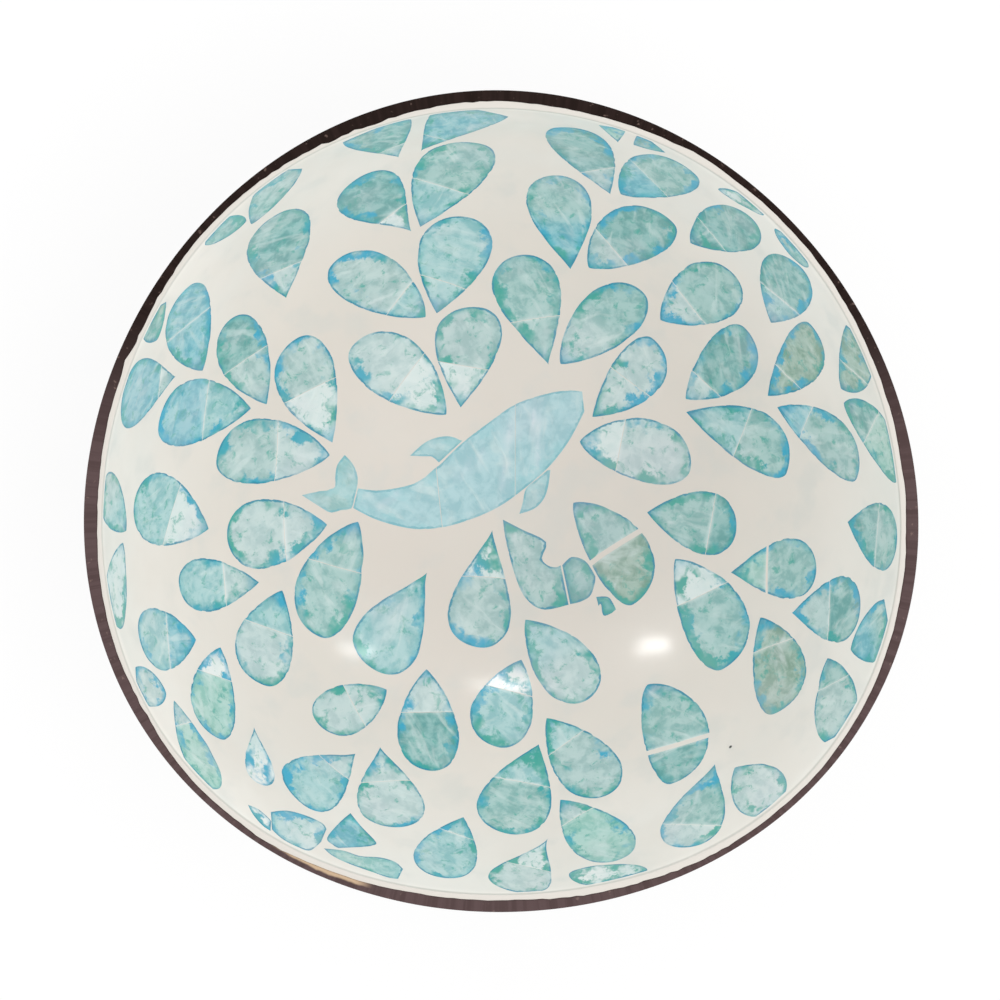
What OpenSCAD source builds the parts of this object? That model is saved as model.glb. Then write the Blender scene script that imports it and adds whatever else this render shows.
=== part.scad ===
// Coconut shell bowl: half a nut's shell, lined with lacquer and inlaid with pearl leaves round a whale.
// It stands on the flat sanded at its bottom, with z = 0 there, and opens upward.

/* [Shell] */
// Mean radius of the outside at the rim
rim_r = 70; // [62:1:78]
// Height from the foot to the rim
height = 60; // [54:1:66]
// Radius of the flat foot
foot_r = 14; // [10:0.5:15]
// Thickness of the wall below the rim
wall = 2.4; // [2.2:0.1:4]
// Mean thickness of the wall at the rim, where it is ground thinner
rim_wall = 1.6; // [1.2:0.1:2]
// How much of the radius the outline bulges along its longest axis
oval_share = 0.007; // [0:0.001:0.02]
// How much of the radius the three ribs of the nut stand out
rib_share = 0.014; // [0:0.001:0.02]
// How much the wall at the rim gains and loses round the bowl, as a share of it
wander_share = 0.3; // [0:0.05:0.4]

/* [Lining] */
// Thickness of the lacquer over the inside of the shell
coat = 0.9; // [0.85:0.05:1.5]
// Border of lacquer left clear between the inlay and the rim
border = 1.2; // [0.8:0.1:3]

/* [Inlay] */
// Thickness of the pearl slips
pearl = 0.5; // [0.3:0.05:0.5]
// Glue line round and under each slip
glue = 0.05; // [0.03:0.01:0.08]
// Gap between the two slips of one leaf
seam = 0.1; // [0.06:0.01:0.16]

/* [Hidden] */
// Azimuth of the outline's longest axis and of the first of the three ribs, in degrees
oval_turn = -16;
rib_turn = 92.5;
// Share of the way from bottom to rim where the wall starts to thin
thin_from_share = 0.85;
// Facets round the bowl and from its bottom to its rim
round_steps = 48;
rise_steps = 10;
// Stations along one leaf
leaf_steps = 6;
// How far cutters reach past the faces that they cut
overrun = 1;

// Leaves by node. Seen from above with +Y up, in shares of the inside's reach from its bottom to the
// rim: tip x, tip y, round end x, round end y. In shares of the leaf's length: width to the left of
// its run, width to the right, place of the belly, place of the seam between its two slips or 0.
leaf_shares = [
    ["sprig_12_rim_leaves", [
        [-0.225, 0.775, -0.335, 1.0, 0.36, 0.34, 0.7, 0.2],
        [-0.175, 0.79, -0.02, 1.05, 0.34, 0.3, 0.7, 0.2]]],
    ["sprig_12_upper_leaves", [
        [-0.175, 0.54, -0.315, 0.72, 0.36, 0.3, 0.72, 0.3],
        [-0.157, 0.55, -0.035, 0.8, 0.38, 0.22, 0.66, 0.42]]],
    ["sprig_12_middle_leaves", [
        [-0.137, 0.338, -0.345, 0.475, 0.2, 0.3, 0.62, 0.28],
        [-0.115, 0.345, -0.06, 0.57, 0.34, 0.3, 0.66, 0.3]]],
    ["sprig_12_inner_leaves", [
        [-0.093, 0.137, -0.285, 0.285, 0.2, 0.32, 0.62, 0.45],
        [-0.065, 0.15, -0.025, 0.355, 0.38, 0.24, 0.68, 0.4]]],
    ["sprig_1_rim_leaves", [
        [0.28, 0.87, 0.27, 1.02, 0.26, 0.26, 0.7, 0],
        [0.32, 0.875, 0.45, 0.975, 0.3, 0.36, 0.64, 0]]],
    ["sprig_1_upper_leaves", [
        [0.243, 0.66, 0.13, 0.895, 0.2, 0.36, 0.68, 0.3],
        [0.267, 0.665, 0.475, 0.81, 0.4, 0.2, 0.6, 0.42]]],
    ["sprig_1_middle_leaves", [
        [0.15, 0.448, 0.13, 0.7, 0.3, 0.25, 0.68, 0],
        [0.188, 0.455, 0.385, 0.605, 0.36, 0.2, 0.6, 0.3]]],
    ["sprig_1_inner_leaves", [
        [0.104, 0.238, 0.045, 0.475, 0.28, 0.27, 0.7, 0.4],
        [0.128, 0.24, 0.3, 0.41, 0.28, 0.22, 0.62, 0]]],
    ["sprig_3_rim_leaves", [
        [0.795, 0.267, 0.885, 0.48, 0.1, 0.42, 0.55, 0.35],
        [0.797, 0.232, 0.985, 0.07, 0.42, 0.14, 0.55, 0.4]]],
    ["sprig_3_upper_leaves", [
        [0.573, 0.21, 0.725, 0.42, 0.13, 0.31, 0.64, 0.3],
        [0.595, 0.187, 0.815, 0.055, 0.36, 0.15, 0.64, 0.3]]],
    ["sprig_3_middle_leaves", [
        [0.382, 0.183, 0.53, 0.362, 0.17, 0.34, 0.62, 0.25],
        [0.382, 0.155, 0.608, 0.045, 0.37, 0.14, 0.66, 0.5]]],
    ["sprig_3_inner_leaves", [
        [0.19, 0.135, 0.315, 0.307, 0.15, 0.34, 0.64, 0.5],
        [0.165, 0.085, 0.388, 0.04, 0.34, 0.22, 0.6, 0.35]]],
    ["sprig_4_rim_leaves", [
        [0.815, -0.337, 0.985, -0.255, 0.34, 0.46, 0.6, 0],
        [0.74, -0.353, 0.82, -0.57, 0.36, 0.24, 0.62, 0.3]]],
    ["sprig_4_outer_leaves", [
        [0.625, -0.248, 0.832, -0.24, 0.36, 0.36, 0.68, 0.5],
        [0.548, -0.257, 0.61, -0.475, 0.42, 0.18, 0.62, 0.3]]],
    ["sprig_4_middle_leaves", [
        [0.475, -0.165, 0.685, -0.15, 0.3, 0.3, 0.68, 0.4],
        [0.355, -0.14, 0.47, -0.365, 0.38, 0.18, 0.62, 0.35]]],
    ["sprig_4_inner_leaves", [
        [0.297, -0.05, 0.485, -0.085, 0.36, 0.3, 0.66, 0.7],
        [0.152, -0.034, 0.272, -0.23, 0.38, 0.14, 0.6, 0.5]]],
    ["sprig_6_rim_leaves", [
        [0.113, -0.782, 0.035, -0.985, 0.34, 0.4, 0.76, 0.5],
        [0.17, -0.915, 0.37, -0.915, 0.16, 0.28, 0.5, 0]]],
    ["sprig_6_outer_leaves", [
        [0.088, -0.528, 0.02, -0.765, 0.3, 0.36, 0.68, 0.4],
        [0.138, -0.668, 0.31, -0.855, 0.24, 0.32, 0.64, 0.25]]],
    ["sprig_6_middle_leaves", [
        [0.052, -0.343, 0.005, -0.535, 0.26, 0.38, 0.64, 0.35],
        [0.104, -0.468, 0.25, -0.652, 0.27, 0.3, 0.64, 0.3]]],
    ["sprig_6_inner_leaves", [
        [-0.004, -0.087, -0.03, -0.318, 0.23, 0.3, 0.72, 0.4],
        [0.018, -0.075, 0.128, -0.243, 0.14, 0.22, 0.66, 0],
        [0.13, -0.14, 0.18, -0.207, 0.3, 0.34, 0.55, 0],
        [0.06, -0.262, 0.19, -0.425, 0.3, 0.28, 0.64, 0]]],
    ["sprig_8_rim_leaves", [
        [-0.785, -0.44, -0.915, -0.415, 0.4, 0.36, 0.55, 0],
        [-0.762, -0.455, -0.695, -0.685, 0.18, 0.24, 0.64, 0.25]]],
    ["sprig_8_outer_leaves", [
        [-0.655, -0.305, -0.85, -0.29, 0.44, 0.3, 0.62, 0.45],
        [-0.59, -0.32, -0.64, -0.54, 0.2, 0.36, 0.62, 0.3]]],
    ["sprig_8_middle_leaves", [
        [-0.482, -0.183, -0.69, -0.18, 0.3, 0.24, 0.66, 0.4],
        [-0.43, -0.2, -0.49, -0.4, 0.24, 0.4, 0.64, 0.4]]],
    ["sprig_8_inner_leaves", [
        [-0.33, -0.072, -0.555, -0.09, 0.32, 0.3, 0.64, 0.4],
        [-0.266, -0.068, -0.352, -0.295, 0.2, 0.34, 0.62, 0.4]]],
    ["sprig_10_rim_leaves", [
        [-0.727, 0.283, -0.942, 0.265, 0.38, 0.46, 0.7, 0.25],
        [-0.83, 0.405, -0.85, 0.56, 0.44, 0.14, 0.5, 0]]],
    ["sprig_10_outer_leaves", [
        [-0.505, 0.175, -0.765, 0.168, 0.22, 0.36, 0.64, 0.45],
        [-0.642, 0.28, -0.745, 0.535, 0.34, 0.2, 0.62, 0.55]]],
    ["sprig_10_middle_leaf", [
        [-0.468, 0.18, -0.58, 0.392, 0.27, 0.24, 0.64, 0.5]]],
    ["sprig_10_inner_leaves", [
        [-0.325, 0.065, -0.585, 0.07, 0.2, 0.32, 0.62, 0.45],
        [-0.32, 0.09, -0.403, 0.318, 0.32, 0.22, 0.66, 0.5]]],
    ["loose_leaf_11", [
        [-0.442, 0.415, -0.505, 0.668, 0.34, 0.3, 0.68, 0.3]]],
    ["rim_leaves_11", [
        [-0.605, 0.685, -0.735, 0.665, 0.2, 0.4, 0.55, 0],
        [-0.583, 0.665, -0.51, 0.87, 0.3, 0.26, 0.6, 0]]],
    ["loose_leaves_1", [
        [0.42, 0.558, 0.62, 0.7, 0.3, 0.28, 0.62, 0.3],
        [0.335, 0.35, 0.525, 0.492, 0.3, 0.3, 0.62, 0.35]]],
    ["loose_leaf_2", [
        [0.603, 0.39, 0.732, 0.6, 0.34, 0.28, 0.64, 0.35]]],
    ["rim_leaves_2", [
        [0.53, 0.78, 0.655, 0.738, 0.26, 0.1, 0.55, 0],
        [0.68, 0.7, 0.765, 0.605, 0.16, 0.22, 0.55, 0]]],
    ["rim_leaf_3", [
        [0.778, -0.048, 0.975, -0.08, 0.38, 0.42, 0.66, 0.55]]],
    ["loose_leaf_5", [
        [0.31, -0.395, 0.385, -0.635, 0.42, 0.15, 0.55, 0.62]]],
    ["rim_leaves_5", [
        [0.482, -0.59, 0.445, -0.84, 0.34, 0.3, 0.7, 0.7],
        [0.535, -0.605, 0.68, -0.74, 0.36, 0.34, 0.62, 0]]],
    ["rim_leaf_6", [
        [-0.078, -0.715, -0.165, -0.92, 0.36, 0.32, 0.66, 0.25]]],
    ["rim_leaves_7", [
        [-0.34, -0.718, -0.4, -0.885, 0.36, 0.26, 0.6, 0],
        [-0.372, -0.912, -0.245, -0.905, 0.22, 0.26, 0.55, 0],
        [-0.455, -0.785, -0.585, -0.77, 0.4, 0.36, 0.55, 0],
        [-0.6, -0.735, -0.65, -0.705, 0.3, 0.3, 0.5, 0]]],
    ["outer_leaves_7", [
        [-0.247, -0.535, -0.238, -0.75, 0.36, 0.36, 0.7, 0.4],
        [-0.303, -0.552, -0.455, -0.7, 0.26, 0.44, 0.7, 0.3],
        [-0.535, -0.5, -0.55, -0.655, 0.24, 0.26, 0.72, 0]]],
    ["inner_leaves_7", [
        [-0.138, -0.362, -0.138, -0.592, 0.26, 0.3, 0.64, 0.4],
        [-0.222, -0.405, -0.385, -0.47, 0.36, 0.26, 0.62, 0.45],
        [-0.131, -0.168, -0.24, -0.365, 0.26, 0.34, 0.72, 0]]],
    ["rim_leaves_9", [
        [-0.87, -0.058, -0.98, 0.09, 0.38, 0.22, 0.6, 0],
        [-0.885, -0.085, -0.93, -0.29, 0.14, 0.36, 0.6, 0]]],
    ["loose_leaf_9", [
        [-0.602, -0.07, -0.835, 0.012, 0.32, 0.32, 0.64, 0.45]]],
    ["chip", [
        [0.2, -0.21, 0.235, -0.25, 0.25, 0.25, 0.5, 0]]]];

// Whale by node. Rows run along each piece: edge on the right x and y, edge on the left x and y, or
// only x and y where the piece ends in a point. The last list names the rows at which seams lie.
whale_shares = [
    ["whale_tail_fluke", [
        [-0.302, 0.066],
        [-0.317, 0.05, -0.278, 0.045],
        [-0.322, 0.02, -0.27, 0.02],
        [-0.325, 0.005, -0.284, -0.012],
        [-0.345, -0.004, -0.292, -0.042],
        [-0.365, -0.004, -0.32, -0.05],
        [-0.378, -0.004, -0.35, -0.042],
        [-0.388, -0.007]], []],
    ["whale_body", [
        [-0.275, -0.045, -0.27, -0.002],
        [-0.22, -0.07, -0.21, -0.006],
        [-0.15, -0.083, -0.16, 0.013],
        [-0.08, -0.08, -0.115, 0.035],
        [-0.02, -0.065, -0.05, 0.093],
        [0.02, -0.045, 0, 0.12],
        [0.05, -0.02, 0.05, 0.155],
        [0.105, 0.02, 0.1, 0.18],
        [0.14, 0.08, 0.135, 0.191],
        [0.17, 0.145, 0.168, 0.19]], [3, 6]],
    ["whale_back_fin", [
        [-0.058, 0.098, -0.117, 0.043],
        [-0.1, 0.103, -0.128, 0.052],
        [-0.138, 0.09, -0.145, 0.056],
        [-0.168, 0.065]], []],
    ["whale_flipper", [
        [0.045, -0.058],
        [0.07, -0.052, 0.05, -0.035],
        [0.092, -0.028, 0.062, -0.022],
        [0.105, 0.003, 0.085, -0.006]], []]];

// The outside follows a ball that passes through the rim and the edge of the foot
ball_z = (rim_r^2 + height^2 - foot_r^2) / (2 * height);
ball_r = norm([foot_r, ball_z]);
face = wall + coat;
// Corners of the facets stand out a little, so that the facets lie half inside and half outside the ball
facet_share = 1 + (1 - cos(180 / round_steps) * cos(45 / rise_steps)) / 2;
// Length of the inside from bottom to rim, which the shares of the inlay's plan are measured in
reach = (ball_r - face) * acos((ball_z - height) / (ball_r - face)) * PI / 180;
edge_share = 1 - border / reach;

// Form of the nut at azimuth a, as a share of the radius
function form(a) = oval_share * cos(2 * (a - oval_turn)) + rib_share * cos(3 * (a - rib_turn));
// How much of the form shows at share u of the way from the bottom to the rim
function swell(u) = sin(90 * min(u, 1))^2;
// How much thinner the wall is at share u, from 0 below to 1 at the rim
function thinning(u) = (max(0, u - thin_from_share) / (1 - thin_from_share))^2;
function rim_depth(a) = rim_wall * (1 + wander_share * cos(4 * a));
// Depth below the outside of the shell of a layer that lies at depth d under the thick wall
function depth(a, u, d) = d == 0 ? 0 : d + (rim_depth(a) - wall) * thinning(u);
function radius(a, u, d) = ball_r * (1 + swell(u) * form(a)) - depth(a, u, d);
function rim_angle(a, d) = acos((ball_z - height) / radius(a, 1, d));
function along_ray(a, b, r) = [r * sin(b) * cos(a), r * sin(b) * sin(a), ball_z - r * cos(b)];
// Point of a layer at azimuth a and share u, level with the rim at u = 1
function on_layer(a, u, d) = along_ray(a, u * rim_angle(a, d), radius(a, u, d) * facet_share);
// Point under plan position p of the inlay, d deep, on the ray from the ball's centre
function under(p, d) = let (a = atan2(p.y, p.x), u = norm(p))
    along_ray(a, u * rim_angle(a, face), radius(a, u, d));

// Ring of layer d at share u of the rise
function ring(u, d) = [for (j = [0:round_steps - 1]) on_layer(360 * j / round_steps, u, d)];
// The layer's last ring, which lies in the plane of the rim
function rim_ring(d) = [for (p = ring(1, d)) [p.x, p.y, height]];
function foot_ring() = [for (j = [0:round_steps - 1]) let (a = 360 * j / round_steps)
    [foot_r * cos(a), foot_r * sin(a), 0]];
// Rings of layer d from share u up to the rim, and from the rim down to the first over the bottom
function rising(d, u) = concat(
    [for (i = [1:rise_steps - 1]) each ring(u + (1 - u) * i / rise_steps, d)], rim_ring(d));
function falling(d) = concat(
    rim_ring(d), [for (i = [rise_steps - 1:-1:1]) each ring(i / rise_steps, d)]);

// Closed cup: up the outside from a point in the middle of its bottom and down the inside to another
module cup(outside_bottom, outside, inside, inside_bottom) {
    n = round_steps;
    rings = (len(outside) + len(inside)) / n;
    last = 1 + rings * n;
    polyhedron(concat([outside_bottom], outside, inside, [inside_bottom]), concat(
        [for (j = [0:n - 1]) [0, 1 + j, 1 + (j + 1) % n]],
        [for (i = [0:rings - 2], j = [0:n - 1])
            let (p = 1 + i * n + j, q = 1 + i * n + (j + 1) % n)
            each [[p, p + n, q + n], [p, q + n, q]]],
        [for (j = [0:n - 1]) [last, last - n + (j + 1) % n, last - n + j]]), 10);
}

// Triangles between two sections of a slab that start at points a and b and have m and n points
function strip(a, m, b, n) =
    m == 1 ? [[a, b, b + 1], [a, b + 1, b + 2]] :
    n == 1 ? [[a, b, a + 1], [a + 1, b, a + 2]] :
    [[a, b, b + 1], [a, b + 1, a + 1], [a + 1, b + 1, b + 2], [a + 1, b + 2, a + 2]];

// Slab between two depths, spanned in plan by sections in a row. A section is one point or three:
// right edge, middle and left edge, seen from above and looking along the row.
module slab(sections, depths) {
    last = len(sections) - 1;
    flat = [for (s = sections) each s];
    n = len(flat);
    starts = [for (i = 0, k = 0; i <= last; k = k + len(sections[i]), i = i + 1) k];
    cover = [for (i = [0:last - 1])
        each strip(starts[i], len(sections[i]), starts[i + 1], len(sections[i + 1]))];
    edge = concat(starts,
        len(sections[last]) == 3 ? [starts[last] + 1] : [],
        [for (i = [last:-1:0]) if (len(sections[i]) == 3) starts[i] + 2],
        len(sections[0]) == 3 ? [1] : []);
    points = [for (d = depths, p = flat) under(p, d)];
    polyhedron(points, concat(
        [for (f = cover) [f[2], f[1], f[0]]],
        [for (f = cover) [f[0] + n, f[1] + n, f[2] + n]],
        [for (i = [0:len(edge) - 1]) let (a = edge[i], b = edge[(i + 1) % len(edge)])
            [a, b, b + n, a + n]]), 10);
}

// Depths between which the slips lie, and between which their beds are cut into the lacquer
slip_depths = [face, face - pearl];
bed_depths = [face + overrun, face - pearl - glue];
glue_share = glue / reach;
seam_share = seam / reach;

// Half width of a leaf at share s of its length, as a share of that at its belly
function fullness(s, belly) =
    (s / belly)^(belly / (2 * (1 - belly))) * sqrt((1 - s) / (1 - belly));
// Plan position p, or the nearest at distance e from the middle where p lies farther out
function held(p, e) = p * min(1, e / norm(p));
// Shares from u to v in n steps, closer together toward the two ends of a leaf
function stations(u, v, n) = let (from = acos(1 - 2 * u), to = acos(1 - 2 * v))
    [for (i = [0:n]) i == 0 ? u : i == n ? v : (1 - cos(from + (to - from) * i / n)) / 2];

function tip(row) = [row[0], row[1]];
function run(row) = [row[2], row[3]] - tip(row);
// Share of a leaf's length at which it meets the border, or 1
function leaf_end(row) = let (t = tip(row), x = run(row) / norm(run(row)))
    min(1, (sqrt((t * x)^2 - t * t + edge_share^2) - t * x) / norm(run(row)));

// Stations of the one slip of a leaf, or of the two that its seam parts
function slip_stations(row) = let (
    end = leaf_end(row),
    gap = seam_share / norm(run(row)) / 2,
    steps = max(2, round(leaf_steps * acos(1 - 2 * row[7]) / acos(1 - 2 * end))))
    row[7] == 0 ? [stations(0, end, leaf_steps)] :
    [stations(0, row[7] - gap, steps), stations(row[7] + gap, end, leaf_steps + 1 - steps)];

// Sections of a leaf at the shares given, grown by g all round
function leaf_sections(row, shares, g) = let (
    length = norm(run(row)),
    x = run(row) / length,
    y = [-x.y, x.x],
    e = edge_share + g)
    [for (s = shares)
        s == 0 ? [tip(row) - x * 2 * g] :
        s == 1 ? [tip(row) + x * (length + g)] :
        let (w = length * fullness(s, row[6]), p = tip(row) + x * length * s)
        [held(p - y * (w * row[5] + 1.3 * g), e), held(p, e), held(p + y * (w * row[4] + 1.3 * g), e)]];

function leaf_bed(row) = let (
    shares = [for (s = slip_stations(row)) each s],
    last = len(shares) - 1,
    past = shares[last] < 1 ? 2 * glue_share / norm(run(row)) : 0)
    leaf_sections(row, [for (i = [0:last]) i == last ? shares[i] + past : shares[i]], glue_share);

// Sections of a whale's piece
function whale_sections(rows) = [for (r = rows) let (a = [r[0], r[1]], b = [r[2], r[3]])
    len(r) == 2 ? [a] : [a, (a + b) / 2, b]];
function middle(section) = section[len(section) == 3 ? 1 : 0];
// Section a moved by g toward section b, which has as many points
function nearer(a, b, g) = [for (i = [0:len(a) - 1]) a[i] + (b[i] - a[i]) * g / norm(middle(b) - middle(a))];
// Section grown by g to both sides
function wider(s, g) = len(s) == 1 ? s :
    let (y = (s[2] - s[0]) / norm(s[2] - s[0])) [s[0] - y * 1.3 * g, s[1], s[2] + y * 1.3 * g];
// Section moved by g away from its neighbour b
function farther(s, b, g) = let (x = (middle(s) - middle(b)) / norm(middle(s) - middle(b)))
    [for (p = s) p + x * g * (len(s) == 1 ? 2 : 1)];

function whale_bed_sections(rows) = let (s = whale_sections(rows), last = len(s) - 1, g = glue_share)
    [for (i = [0:last]) wider(
        i == 0 ? farther(s[0], s[1], g) : i == last ? farther(s[last], s[last - 1], g) : s[i], g)];

module whale_bed(rows) {
    s = whale_bed_sections(rows);
    for (i = [0:len(s) - 2])
        hull()
            slab([s[i], s[i + 1]], bed_depths);
}

module whale_piece(piece) {
    s = whale_sections(piece[1]);
    cuts = concat([0], piece[2], [len(s) - 1]);
    half = seam_share / 2;
    color("#abcfd6")
        for (k = [0:len(cuts) - 2])
            slab([for (i = [cuts[k]:cuts[k + 1]])
                i == cuts[k] && i > 0 ? nearer(s[i], s[i + 1], half) :
                i == cuts[k + 1] && i < len(s) - 1 ? nearer(s[i], s[i - 1], half) : s[i]],
                slip_depths);
}

module leaves(group) {
    color("#73ada8")
        for (row = group[1], shares = slip_stations(row))
            slab(leaf_sections(row, shares, 0), slip_depths);
}

module coconut_shell() {
    foot_share = atan(foot_r / ball_z) / rim_angle(0, 0);
    color("#4a2c20")
        cup([0, 0, 0], concat(foot_ring(), rising(0, foot_share)), falling(wall), on_layer(0, 0, wall));
}

module lacquer_lining() {
    color("#e6dfd6")
        difference() {
            cup(on_layer(0, 0, wall), rising(wall, 0), falling(face), on_layer(0, 0, face));
            for (g = leaf_shares, row = g[1])
                hull()
                    slab(leaf_bed(row), bed_depths);
            for (w = whale_shares)
                whale_bed(w[1]);
        }
}

coconut_shell();
lacquer_lining();
for (g = leaf_shares) leaves(g);
for (w = whale_shares) whale_piece(w);
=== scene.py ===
import math

import bpy
from mathutils import Matrix, Vector, noise


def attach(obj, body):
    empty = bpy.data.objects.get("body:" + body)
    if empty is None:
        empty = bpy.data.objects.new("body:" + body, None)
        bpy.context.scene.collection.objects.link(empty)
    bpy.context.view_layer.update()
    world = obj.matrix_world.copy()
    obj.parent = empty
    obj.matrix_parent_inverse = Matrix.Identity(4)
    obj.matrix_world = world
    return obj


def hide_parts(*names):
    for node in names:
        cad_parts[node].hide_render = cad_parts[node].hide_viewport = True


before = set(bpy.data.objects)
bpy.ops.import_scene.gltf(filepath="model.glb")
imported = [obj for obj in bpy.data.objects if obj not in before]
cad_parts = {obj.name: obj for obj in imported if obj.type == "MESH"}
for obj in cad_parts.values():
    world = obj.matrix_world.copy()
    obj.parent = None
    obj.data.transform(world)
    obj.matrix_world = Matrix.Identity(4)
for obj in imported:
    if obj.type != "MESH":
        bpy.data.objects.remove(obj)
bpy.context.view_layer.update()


# Coconut shell: the hard shell of half a nut, scraped clean of its husk and polished outside, ground
# thinner toward the rim, and sanded flat below so that it stands. It is a ball drawn out along three ribs.
rim_radius = 0.070
height = 0.060
foot_radius = 0.014
wall = 0.0024
rim_wall = 0.0016
rim_wander = 0.3
thin_from, thin_over = 0.85, 0.15
oval, oval_turn = 0.007, math.radians(32)
ribs, rib_turn = 0.014, math.radians(277.5)
rim_zone = 0.0006
rim_slack = 0.00001
ball_z = (rim_radius ** 2 + height ** 2 - foot_radius ** 2) / (2 * height)
ball_radius = math.hypot(foot_radius, ball_z)

# The ball's spokes and rings, and how many degrees up from its bottom the ring lies that becomes the rim
around, rings, rim_ring = 360, 90, 82

# Where the lacquer runs over the ground wood or, with a minus, stops short: azimuth, reach, how far
lacquer_bites = ((93, 7, 0.0004), (61, 4, 0.0004), (158, 1, 0.0007), (236, 5, 0.0003), (115, 12, -0.0006),
                 (150, 8, -0.0006), (180, 8, -0.0003), (210, 7, -0.0005), (285, 9, 0.0004), (300, 7, 0.0004))


def nut_form(azimuth):
    """How far the nut swells beyond a true ball, being slightly oval and slightly three-ribbed."""
    return oval * math.cos(2 * azimuth + oval_turn) + ribs * math.cos(3 * azimuth - rib_turn)


def rim_seam(azimuth):
    """How far the lacquer runs over or falls short of the ground wood, which makes its edge uneven."""
    p = Vector((math.cos(azimuth), math.sin(azimuth), 0)) * rim_radius
    uneven = 0.00012 * noise.noise(p * 160) + 0.00009 * noise.noise(p * 520)
    for place, reach, bite in lacquer_bites:
        near = math.degrees(math.remainder(azimuth - math.radians(place), math.tau)) / reach
        uneven += bite * math.exp(-near * near) * (0.7 + 0.6 * noise.noise(p * 700))
    return uneven


def topcoat_wave(azimuth, share):
    """How far the glossy topcoat stands up at a place, a very slight wave."""
    p = Vector((math.cos(azimuth), math.sin(azimuth), 0)) * share
    return 0.00005 * noise.noise(p * 5) + 0.000016 * noise.noise(p * 17)


def layer_radius(azimuth, share, depth):
    """Distance from the ball's centre to a layer, at a share of the way from the bottom to the rim."""
    radius = ball_radius * (1 + math.sin(math.pi / 2 * min(share, 1)) ** 2 * nut_form(azimuth))
    if depth > 0:
        thinning = (max(0, share - thin_from) / thin_over) ** 2
        radius -= depth + (rim_wall * (1 + rim_wander * math.cos(4 * azimuth)) - wall) * thinning
        if depth == wall:
            radius += rim_seam(azimuth) * min(1, thinning)
    if depth > wall:
        radius -= topcoat_wave(azimuth, share)
    return radius


def rim_angle(azimuth, depth):
    return math.acos((ball_z - height) / layer_radius(azimuth, 1, depth))


def on_ray(azimuth, angle, radius):
    out = radius * math.sin(angle)
    return Vector((out * math.cos(azimuth), out * math.sin(azimuth), ball_z - radius * math.cos(angle)))


def ball_layer(name, depth):
    """Ball with the nut's form, one of its rings level with the rim, sawn off there."""
    bpy.ops.object.select_all(action="DESELECT")
    bpy.ops.mesh.primitive_uv_sphere_add(segments=around, ring_count=rings, radius=ball_radius,
                                         location=(0, 0, ball_z))
    layer = bpy.context.object
    layer.name = name
    bpy.ops.object.transform_apply(location=True, rotation=False, scale=False)
    for v in layer.data.vertices:
        from_centre = v.co - Vector((0, 0, ball_z))
        azimuth = math.atan2(from_centre.y, from_centre.x)
        angle = math.acos(max(-1, min(1, -from_centre.z / from_centre.length)))
        share = min(angle / math.radians(rim_ring), 1.1)
        v.co = on_ray(azimuth, share * rim_angle(azimuth, depth), layer_radius(azimuth, share, depth))
    bpy.ops.object.mode_set(mode="EDIT")
    bpy.ops.mesh.select_all(action="SELECT")
    bpy.ops.mesh.bisect(plane_co=(0, 0, height), plane_no=(0, 0, 1), clear_outer=True, use_fill=False)
    bpy.ops.object.mode_set(mode="OBJECT")
    return layer


def spoke(p):
    """Number of the spoke of the ball that a point lies on."""
    return round(math.degrees(math.atan2(p.y, p.x))) % around


def close_rim(outside, inside, lip, name):
    """Draws the inner layer's cut edge out to the outer one's, which closes the wall, and rounds its lip."""
    bpy.ops.object.select_all(action="DESELECT")
    bpy.context.view_layer.objects.active = inside
    bpy.ops.object.mode_set(mode="EDIT")
    bpy.ops.mesh.select_mode(type="VERT")
    bpy.ops.mesh.select_all(action="DESELECT")
    bpy.ops.object.mode_set(mode="OBJECT")
    for v in inside.data.vertices:
        v.select = abs(v.co.z - height) < rim_slack
    bpy.ops.object.mode_set(mode="EDIT")
    bpy.ops.mesh.extrude_edges_move()
    bpy.ops.object.mode_set(mode="OBJECT")
    edge = {spoke(v.co): v.co.copy() for v in outside.data.vertices if abs(v.co.z - height) < rim_slack}
    for v in inside.data.vertices:
        if v.select:
            v.co = edge[spoke(v.co)]
    inside.select_set(True)
    outside.select_set(True)
    bpy.context.view_layer.objects.active = outside
    bpy.ops.object.join()
    outside.name = name
    bpy.ops.object.mode_set(mode="EDIT")
    bpy.ops.mesh.select_all(action="SELECT")
    bpy.ops.mesh.remove_doubles(threshold=0.000001)
    bpy.ops.mesh.normals_make_consistent(inside=False)
    bpy.ops.object.mode_set(mode="OBJECT")
    soft = outside.modifiers.new("rounded_lip", "BEVEL")
    soft.width = lip
    soft.segments = 3
    soft.limit_method = "ANGLE"
    soft.angle_limit = math.radians(50)
    bpy.ops.object.modifier_apply(modifier=soft.name)
    bpy.ops.object.shade_smooth_by_angle(angle=math.radians(35))
    return outside


shell_outside = ball_layer("shell_outside", 0)
bpy.ops.object.mode_set(mode="EDIT")
bpy.ops.mesh.select_all(action="SELECT")
bpy.ops.mesh.bisect(plane_co=(0, 0, 0), plane_no=(0, 0, -1), clear_outer=True, use_fill=True)
bpy.ops.mesh.inset(thickness=0.0005, depth=0.00004)
bpy.ops.object.mode_set(mode="OBJECT")
shell = close_rim(shell_outside, ball_layer("shell_inside", wall), lip=0.00022, name="polished_coconut_shell")
for v in shell.data.vertices:
    if v.co.z > height - rim_zone:
        v.co.z += 0.00009 * noise.noise(Vector((v.co.x, v.co.y, 0)) * 110) - 0.00006


def feed(tree, node, inputs):
    """Gives each input of a node its value, or the socket that it takes its value from."""
    for name, value in inputs.items():
        if isinstance(value, bpy.types.NodeSocket):
            tree.links.new(value, node.inputs[name])
        else:
            node.inputs[name].default_value = value


def put(tree, kind, inputs=None, **settings):
    node = tree.nodes.new(kind)
    for name, value in settings.items():
        setattr(node, name, value)
    feed(tree, node, inputs or {})
    return node


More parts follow.
